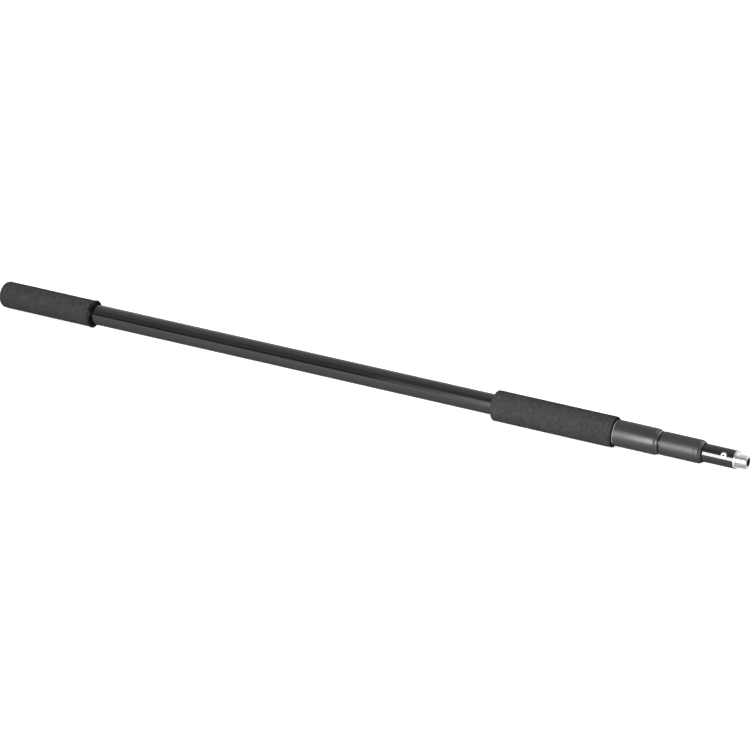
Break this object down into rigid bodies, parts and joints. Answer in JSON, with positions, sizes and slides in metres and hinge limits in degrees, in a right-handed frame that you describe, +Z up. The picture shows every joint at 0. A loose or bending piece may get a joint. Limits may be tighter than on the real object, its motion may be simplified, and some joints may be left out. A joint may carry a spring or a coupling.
{
  "type": "boom pole",
  "caption": "Telescopic microphone boom pole, collapsed, with foam grips, twist-lock collars and a threaded spigot at the tip.",
  "frame": {"origin": "centre of the butt plug's flat outer face", "axes": "+X along the pole, from the butt to the microphone spigot; +Z up as it lies; the near rivet is 37 degrees above the horizontal on the -Y side"},
  "size_m": [0.8961, 0.0336, 0.0336],
  "materials": {
    "anodised_tube": "gloss",
    "grip_foam": "matte",
    "collar_sleeve": "satin",
    "black_nylon": "satin",
    "white_acetal": "satin",
    "bumper_rubber": "matte",
    "turned_metal": "satin",
    "bright_metal": "gloss",
    "wiper_felt": "matte"
  },
  "bodies": {
    "outer_section": {"outer_tube": "anodised_tube", "rear_grip": "grip_foam", "rear_grip_ring": "bumper_rubber", "front_grip": "grip_foam", "butt_plug": "black_nylon", "butt_bumper": "bumper_rubber", "outer_ferrule": "turned_metal"},
    "guide_1": {"middle_guide_ring": "white_acetal"},
    "middle_section": {"middle_tube": "anodised_tube", "middle_end_plug": "black_nylon", "middle_bumper": "bumper_rubber", "middle_ferrule": "turned_metal"},
    "guide_2": {"inner_guide_ring": "white_acetal"},
    "inner_section": {"inner_tube": "anodised_tube", "inner_end_plug": "black_nylon", "tip_insert": "bright_metal", "tip_rivet_near": "bright_metal", "tip_rivet_far": "bright_metal"},
    "clamp_1": {"collet_1": "white_acetal", "thrust_washer_1": "white_acetal"},
    "collar_1": {"collar_1_nut": "turned_metal", "collar_1_sleeve": "collar_sleeve", "wiper_1": "wiper_felt"},
    "clamp_2": {"collet_2": "white_acetal", "thrust_washer_2": "white_acetal"},
    "collar_2": {"collar_2_nut": "turned_metal", "collar_2_sleeve": "collar_sleeve", "wiper_2": "wiper_felt"}
  },
  "joints": [
    {"name": "middle_slide", "type": "slide", "parent": "outer_section", "child": "guide_1", "axis": [1, 0, 0], "range_m": [0, 0.64]},
    {"name": "middle_swivel", "type": "hinge", "parent": "guide_1", "child": "middle_section", "pos_m": [0.0289, 0, 0], "axis": [1, 0, 0], "continuous": true},
    {"name": "inner_slide", "type": "slide", "parent": "middle_section", "child": "guide_2", "axis": [1, 0, 0], "range_m": [0, 0.66]},
    {"name": "inner_swivel", "type": "hinge", "parent": "guide_2", "child": "inner_section", "pos_m": [0.0625, 0, 0], "axis": [1, 0, 0], "continuous": true},
    {"name": "collar_1_advance", "type": "slide", "parent": "outer_section", "child": "clamp_1", "axis": [1, 0, 0], "range_m": [0, 0.0005]},
    {"name": "collar_1_twist", "type": "hinge", "parent": "clamp_1", "child": "collar_1", "pos_m": [0.773, 0, 0], "axis": [1, 0, 0], "range_deg": [0, 180]},
    {"name": "collar_2_advance", "type": "slide", "parent": "middle_section", "child": "clamp_2", "axis": [1, 0, 0], "range_m": [0, 0.0005]},
    {"name": "collar_2_twist", "type": "hinge", "parent": "clamp_2", "child": "collar_2", "pos_m": [0.825, 0, 0], "axis": [1, 0, 0], "range_deg": [0, 180]}
  ],
  "couplings": [
    {"joint": "collar_1_advance", "follows": "collar_1_twist", "m_per_rad": 0.000159},
    {"joint": "collar_2_advance", "follows": "collar_2_twist", "m_per_rad": 0.000159}
  ]
}
